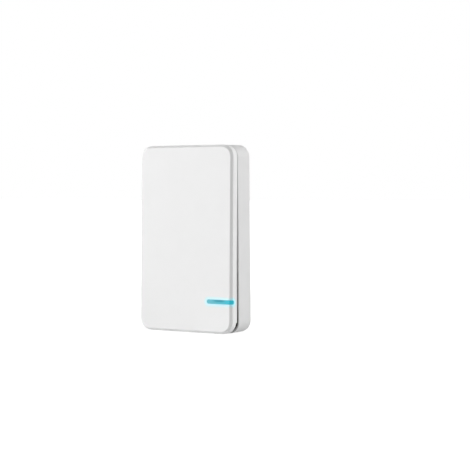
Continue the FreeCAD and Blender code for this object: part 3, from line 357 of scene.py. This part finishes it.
def along_bar(tree):
    """Offset from the light bar's inner end, and the share of the way along its middle line."""
    offset = vector_step(tree, "SUBTRACT", object_place(tree), BAR_START)
    ahead = vector_step(tree, "DOT_PRODUCT", offset, BAR_SPAN)
    return offset, map_range(tree, ahead, (0.0, BAR_SPAN.length_squared), (0.0, 1.0))


def bar_halo(tree):
    """Strength of the light bar's light in the plate around it, from 0 to 1."""
    offset, share = along_bar(tree)
    nearest = vector_step(tree, "SCALE", BAR_SPAN, share)
    distance = vector_step(tree, "LENGTH", vector_step(tree, "SUBTRACT", offset, nearest))
    near = map_range(tree, distance, [reach * MM for reach in HALO_REACH_MM], (1.0, 0.0), smooth=True)
    return calculate(tree, "MULTIPLY", near, map_range(tree, share, (0.0, 1.0), HALO_STRENGTH))


def rocker_shell():
    """White moulded plastic with the lit bar's light in it."""
    material, tree, shader = new_material("rocker_shell")
    toned = vary_colour(tree, SHELL_WHITE, PLASTIC_TONE_DRIFT, PLASTIC_TONE_MM)
    halo = bar_halo(tree)
    tree.links.new(mix_colours(tree, halo, toned, HALO_TINT), shader.inputs["Base Color"])
    tree.links.new(mix_colours(tree, halo, BLACK, HALO_GLOW), shader.inputs["Emission Color"])
    shader.inputs["Emission Strength"].default_value = 1.0
    finish_plastic(tree, shader, *SHELL_FINISH)
    return material


def groove_shade(tree):
    """1 in the middle of the light bar's upper edge, fading to 0 along it and downwards."""
    offset = vector_step(tree, "SUBTRACT", object_place(tree), SHADE_MIDDLE)
    wide, high = (1.0 / (half * MM) for half in SHADE_HALF_MM)
    scaled = vector_step(tree, "MULTIPLY", offset, (wide, 0.0, high))
    return map_range(tree, vector_step(tree, "LENGTH", scaled), SHADE_FADE, (1.0, 0.0), smooth=True)


def light_guide():
    """Tinted plastic of the light bar, deeper in colour towards its lamp at the outer end."""
    material, tree, shader = new_material("light_guide")
    cloud = map_range(tree, object_noise(tree, GUIDE_CLOUD_MM), NOISE_SPAN, GUIDE_CLOUD_DRIFT)
    share = calculate(tree, "ADD", along_bar(tree)[1], cloud, clamp=True)
    deepening = map_range(tree, share, (0.0, GUIDE_DEEP_SHARE), (0.0, 1.0))
    colour = mix_colours(tree, deepening, GUIDE_PALE, GUIDE_DEEP)
    shade = groove_shade(tree)
    tree.links.new(mix_colours(tree, shade, colour, SHADE_COLOUR), shader.inputs["Base Color"])
    tree.links.new(mix_colours(tree, shade, GUIDE_GLOW, SHADE_GLOW), shader.inputs["Emission Color"])
    shader.inputs["Emission Strength"].default_value = 1.0
    shader.inputs["Specular IOR Level"].default_value = GUIDE_SPECULAR
    shader.inputs["IOR"].default_value = GUIDE_IOR
    vary_roughness(tree, shader, low=0.18, high=0.26, size_mm=2.0)
    add_grain(tree, shader, size_mm=0.4, depth_mm=0.001)
    return material


def mask_between(tree, value, low, high):
    """1 where a value lies between two limits, 0 elsewhere."""
    above = calculate(tree, "GREATER_THAN", value, low)
    below = calculate(tree, "LESS_THAN", value, high)
    return calculate(tree, "MULTIPLY", above, below)


def cell_sleeve():
    """Plain plastic sleeve with a gilt band, between the cell's bright metal ends."""
    material, tree, shader = new_material("cell_wrap")
    low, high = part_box("battery")
    start, end = low.x + CELL_BARE_MM[0] * MM, high.x - CELL_BARE_MM[1] * MM
    parts = add_node(tree, "ShaderNodeSeparateXYZ")
    tree.links.new(object_place(tree), parts.inputs[0])
    sleeve = mask_between(tree, parts.outputs["X"], start, end)
    band = mask_between(tree, parts.outputs["X"], start, low.x + CELL_BAND_MM * MM)
    cloud = object_noise(tree, CELL_CLOUD_MM)
    wrapped = mix_colours(tree, band, mix_colours(tree, cloud, *CELL_BLUES), CELL_GILT)
    steel = mix_colours(tree, cloud, *CELL_STEELS)
    tree.links.new(mix_colours(tree, sleeve, steel, wrapped), shader.inputs["Base Color"])
    tree.links.new(map_range(tree, sleeve, (0.0, 1.0), (1.0, 0.0)), shader.inputs["Metallic"])
    vary_roughness(tree, shader, low=0.24, high=0.34, size_mm=1.0)
    add_grain(tree, shader, size_mm=0.5, depth_mm=0.002)
    return material


def board_cells(tree, flat, size_mm, measure):
    """Random cells of about size_mm on the board's face, square or round by the way they measure."""
    cells = add_node(tree, "ShaderNodeTexVoronoi", voronoi_dimensions="2D", distance=measure)
    cells.inputs["Scale"].default_value = 1.0 / (size_mm * MM)
    tree.links.new(flat, cells.inputs["Vector"])
    return cells


def board_copper(tree, parts, flat):
    """1 over the board's copper tracks, which turn from field to field, and over poured fields."""
    fields = board_cells(tree, flat, TRACK_FIELD_MM, "CHEBYCHEV")
    chance = add_node(tree, "ShaderNodeSeparateColor")
    tree.links.new(fields.outputs["Color"], chance.inputs[0])
    across = add_node(tree, "ShaderNodeMix")
    tree.links.new(map_range(tree, chance.outputs["Red"], UPRIGHT_SHARE, (0.0, 1.0)), across.inputs[0])
    tree.links.new(parts.outputs["Z"], across.inputs[2])
    tree.links.new(parts.outputs["X"], across.inputs[3])
    stripe = calculate(tree, "PINGPONG", across.outputs[0], TRACK_PITCH_MM * MM / 2)
    edge = [share * TRACK_WIDTH_MM * MM / 2 for share in TRACK_EDGE]
    bundle = map_range(tree, stripe, edge, (1.0, 0.0), smooth=True)
    poured = map_range(tree, chance.outputs["Green"], POURED_SHARE, (1.0, 0.0))
    return calculate(tree, "MAXIMUM", bundle, poured)


def solder_mask():
    """Green board lacquer over copper, with tinned vias."""
    material, tree, shader = new_material("board")
    parts = add_node(tree, "ShaderNodeSeparateXYZ")
    face = add_node(tree, "ShaderNodeCombineXYZ")
    tree.links.new(object_place(tree), parts.inputs[0])
    tree.links.new(parts.outputs["X"], face.inputs["X"])
    tree.links.new(parts.outputs["Z"], face.inputs["Y"])
    flat = face.outputs[0]
    copper = board_copper(tree, parts, flat)
    lacquer = mix_colours(tree, copper, BOARD_BARE, BOARD_OVER_COPPER)
    holes = board_cells(tree, flat, VIA_FIELD_MM, "EUCLIDEAN")
    via = map_range(tree, holes.outputs["Distance"], VIA_EDGE, (1.0, 0.0), smooth=True)
    tree.links.new(mix_colours(tree, via, lacquer, VIA_TIN), shader.inputs["Base Color"])
    tree.links.new(via, shader.inputs["Metallic"])
    add_relief(tree, shader, copper, TRACK_HEIGHT_MM)
    vary_roughness(tree, shader, low=0.24, high=0.32, size_mm=1.5)
    return material


# By the record's slots, with rocker_shell for the one white part that the bar shines into
MATERIALS = {
    **{slot: plastic(slot, *look) for slot, look in PLASTICS.items()},
    **{slot: metal(slot, *look) for slot, look in METALS.items()},
    "rocker_shell": rocker_shell(),
    "light_guide": light_guide(),
    "cell_wrap": cell_sleeve(),
    "board": solder_mask(),
}


def dress_nodes():
    """Give every CAD node the material of its slot in the record."""
    slots = {part["node"]: part["material_slot"] for part in frame["record"]["subparts"]}
    for name, node in frame["nodes"].items():
        node.data.materials.clear()
        node.data.materials.append(MATERIALS["rocker_shell" if name == "rocker" else slots[name]])


def smooth_object(name, points, faces, material):
    """Object of the scene with one smooth-shaded mesh."""
    mesh = bpy.data.meshes.new(name)
    mesh.from_pydata(points, [], faces)
    mesh.polygons.foreach_set("use_smooth", [True] * len(mesh.polygons))
    mesh.materials.append(material)
    thing = bpy.data.objects.new(name, mesh)
    scene.collection.objects.link(thing)
    return thing


def swung(across, depth, drop):
    """Point of the rocker at rest, in metres, from its place when pressed, in millimetres."""
    pressed = Vector((across, -depth, -drop)) * MM
    return HINGE + REST_TURN @ (pressed - HINGE)


def tip_route(steps=14):
    """Stations of the bar's tip: place across, depth and half its height, in millimetres."""
    diagonal = TIP_RISE * math.sqrt(0.5)
    stations = []
    for back in (TIP_OVERLAP, TIP_OVERLAP / 2):
        stations.append((SHELL_SIDE - back + diagonal, CHAMFER_DEPTH + back + diagonal, TIP_HALF_HEIGHT))
    for step in range(steps + 1):
        share = step / steps
        half = TIP_HALF_HEIGHT * math.sqrt(max(0.0, 1.0 - share ** TIP_ROUNDNESS))
        depth = CHAMFER_DEPTH - share * TIP_REACH
        stations.append((SHELL_SIDE + TIP_RISE, depth, max(half, TIP_LEAST_HALF_HEIGHT)))
    return stations


def make_bar_tip(columns=12):
    """Rounded end of the light bar on the rocker's side, flush but for a hair's breadth."""
    points, faces = [], []
    for across, depth, half in tip_route():
        for column in range(columns + 1):
            points.append(swung(across, depth, TIP_DROP - half + 2.0 * half * column / columns))
    width = columns + 1
    for row in range(len(points) // width - 1):
        for column in range(columns):
            first = row * width + column
            faces.append((first, first + 1, first + width + 1, first + width))
    tip = smooth_object("light_bar_tip", points, faces, MATERIALS["light_guide"])
    body = tip.modifiers.new("body", "SOLIDIFY")
    body.thickness = TIP_THICKNESS * MM
    body.offset = -1.0
    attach(tip, "rocker")


def helix_point(share, middle, radius, back, front):
    """Point of a spring's wire. Its closed end turns lie just outside back and front."""
    turn = share * SPRING_TURNS * 2.0 * math.pi
    rise = (share - SPRING_CLOSED) / (1.0 - 2.0 * SPRING_CLOSED)
    rise = min(1.0, max(0.0, rise))
    before = 1.0 - min(share, SPRING_CLOSED) / SPRING_CLOSED
    after = max(0.0, share - 1.0 + SPRING_CLOSED) / SPRING_CLOSED
    away = back - rise * (back - front) + 2.0 * WIRE_RADIUS * MM * (before - after)
    return Vector((middle.x + radius * math.cos(turn), away, middle.z + radius * math.sin(turn)))


def wire_mesh(route, radius, sides=10):
    """Points and faces of a round wire along a route, with closed ends."""
    points, faces = [], []
    for index, point in enumerate(route):
        ahead = route[min(index + 1, len(route) - 1)] - route[max(index - 1, 0)]
        ahead.normalize()
        across = ahead.cross(Vector((0.0, 1.0, 0.0))).normalized()
        over = across.cross(ahead)
        for side in range(sides):
            turn = 2.0 * math.pi * side / sides
            points.append(point + radius * (across * math.cos(turn) + over * math.sin(turn)))
    for ring in range(len(route) - 1):
        for side in range(sides):
            following = (side + 1) % sides
            first, second = ring * sides, (ring + 1) * sides
            faces.append((first + side, first + following, second + following, second + side))
    faces.append(tuple(reversed(range(sides))))
    faces.append(tuple((len(route) - 1) * sides + side for side in range(sides)))
    return points, faces


def make_return_spring(side, steps=190):
    """Spring with closed ends in the place of the CAD return spring, which it hides."""
    low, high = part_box("return_spring_" + side)
    middle = (low + high) / 2
    wire = WIRE_RADIUS * MM
    radius = (high.x - low.x) / 2 - wire
    back, front = high.y - SEAT_RADII * wire, low.y + SEAT_RADII * wire
    route = [helix_point(step / steps, middle, radius, back, front) for step in range(steps + 1)]
    coil = smooth_object("return_coil_" + side, *wire_mesh(route, wire), MATERIALS["spring_steel"])
    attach(coil, "tray")
    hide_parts("return_spring_" + side)
    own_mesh(coil)


def make_lamp(name, azimuth, elevation, level):
    """Square lamp that faces the part's middle and that the camera doesn't see."""
    turn, rise = math.radians(azimuth), math.radians(elevation)
    away = Vector((math.sin(turn) * math.cos(rise), -math.cos(turn) * math.cos(rise), math.sin(rise)))
    centre = (cad_box[0] + cad_box[1]) / 2
    place = centre + away * LAMP_DISTANCE
    light = bpy.data.lights.new(name, "AREA")
    light.shape = "SQUARE"
    light.size = LAMP_SIZE
    light.energy = level * (math.pi * LAMP_DISTANCE) ** 2
    lamp = bpy.data.objects.new(name, light)
    scene.collection.objects.link(lamp)
    lamp.location = place
    lamp.rotation_mode = "QUATERNION"
    lamp.rotation_quaternion = (centre - place).to_track_quat("-Z", "Y")
    lamp.visible_camera = False


def seen_directly(tree):
    """1 for camera, mirror and see-through rays, 0 for the light that a surface gathers."""
    path = add_node(tree, "ShaderNodeLightPath")
    seen = path.outputs["Is Camera Ray"]
    for kind in ("Is Glossy Ray", "Is Transmission Ray"):
        seen = calculate(tree, "MAXIMUM", seen, path.outputs[kind])
    return seen


def make_world():
    """World that lights the part faintly and shows as plain white."""
    world = bpy.data.worlds.new("studio")
    scene.world = world
    world.use_nodes = True
    tree = world.node_tree
    background = tree.nodes["Background"]
    background.inputs["Color"].default_value = WHITE
    level = map_range(tree, seen_directly(tree), (0.0, 1.0), (FILL_LEVEL, BACKGROUND_LEVEL))
    tree.links.new(level, background.inputs["Strength"])


def floor_paper():
    """Pale paper that takes shadows. Where it is seen it also glows, far off like the background."""
    material = bpy.data.materials.new("floor_paper")
    material.use_nodes = True
    tree = material.node_tree
    tree.nodes.clear()
    output = add_node(tree, "ShaderNodeOutputMaterial")
    bounce = add_node(tree, "ShaderNodeBsdfDiffuse", Color=FLOOR_BOUNCE)
    shaded = add_node(tree, "ShaderNodeBsdfDiffuse", Color=FLOOR_SEEN)
    glow = add_node(tree, "ShaderNodeEmission")
    distance = vector_step(tree, "LENGTH", object_place(tree))
    tree.links.new(map_range(tree, distance, FLOOR_FADE, FLOOR_GLOW, smooth=True), glow.inputs["Strength"])
    both = add_node(tree, "ShaderNodeAddShader")
    mix = add_node(tree, "ShaderNodeMixShader")
    tree.links.new(shaded.outputs[0], both.inputs[0])
    tree.links.new(glow.outputs[0], both.inputs[1])
    tree.links.new(seen_directly(tree), mix.inputs["Fac"])
    tree.links.new(bounce.outputs[0], mix.inputs[1])
    tree.links.new(both.outputs[0], mix.inputs[2])
    tree.links.new(mix.outputs[0], output.inputs["Surface"])
    return material


def make_floor():
    """Square floor at the height of the part's lowest point."""
    height, half = cad_box[0].z, FLOOR_SIZE / 2
    corners = [(-half, -half, height), (half, -half, height), (half, half, height), (-half, half, height)]
    mesh = bpy.data.meshes.new("floor")
    mesh.from_pydata(corners, [], [(0, 1, 2, 3)])
    mesh.materials.append(floor_paper())
    floor = bpy.data.objects.new("floor", mesh)
    scene.collection.objects.link(floor)


def make_camera():
    """Camera turned by azimuth and elevation, then rolled about its own axis."""
    turn, rise, roll = (math.radians(angle) for angle in (CAMERA_AZIMUTH, CAMERA_ELEVATION, CAMERA_ROLL))
    forward = Vector((-math.sin(turn) * math.cos(rise), math.cos(turn) * math.cos(rise), math.sin(rise)))
    level_right = Vector((math.cos(turn), math.sin(turn), 0.0))
    level_up = level_right.cross(forward)
    right = level_right * math.cos(roll) + level_up * math.sin(roll)
    up = level_up * math.cos(roll) - level_right * math.sin(roll)
    camera = bpy.data.objects.new("camera", bpy.data.cameras.new("camera"))
    camera.data.lens = CAMERA_LENS
    camera.data.sensor_width = SENSOR_WIDTH
    rotation = Matrix((right, up, -forward)).transposed()
    camera.matrix_world = Matrix.Translation(CAMERA_PLACE) @ rotation.to_4x4()
    scene.collection.objects.link(camera)
    scene.camera = camera


dress_nodes()
make_bar_tip()
for side in ("left", "right"):
    make_return_spring(side)
make_camera()
make_world()
make_floor()
for name, (azimuth, elevation, level) in LAMPS.items():
    make_lamp(name, azimuth, elevation, level)
scene.view_settings.view_transform = "Standard"
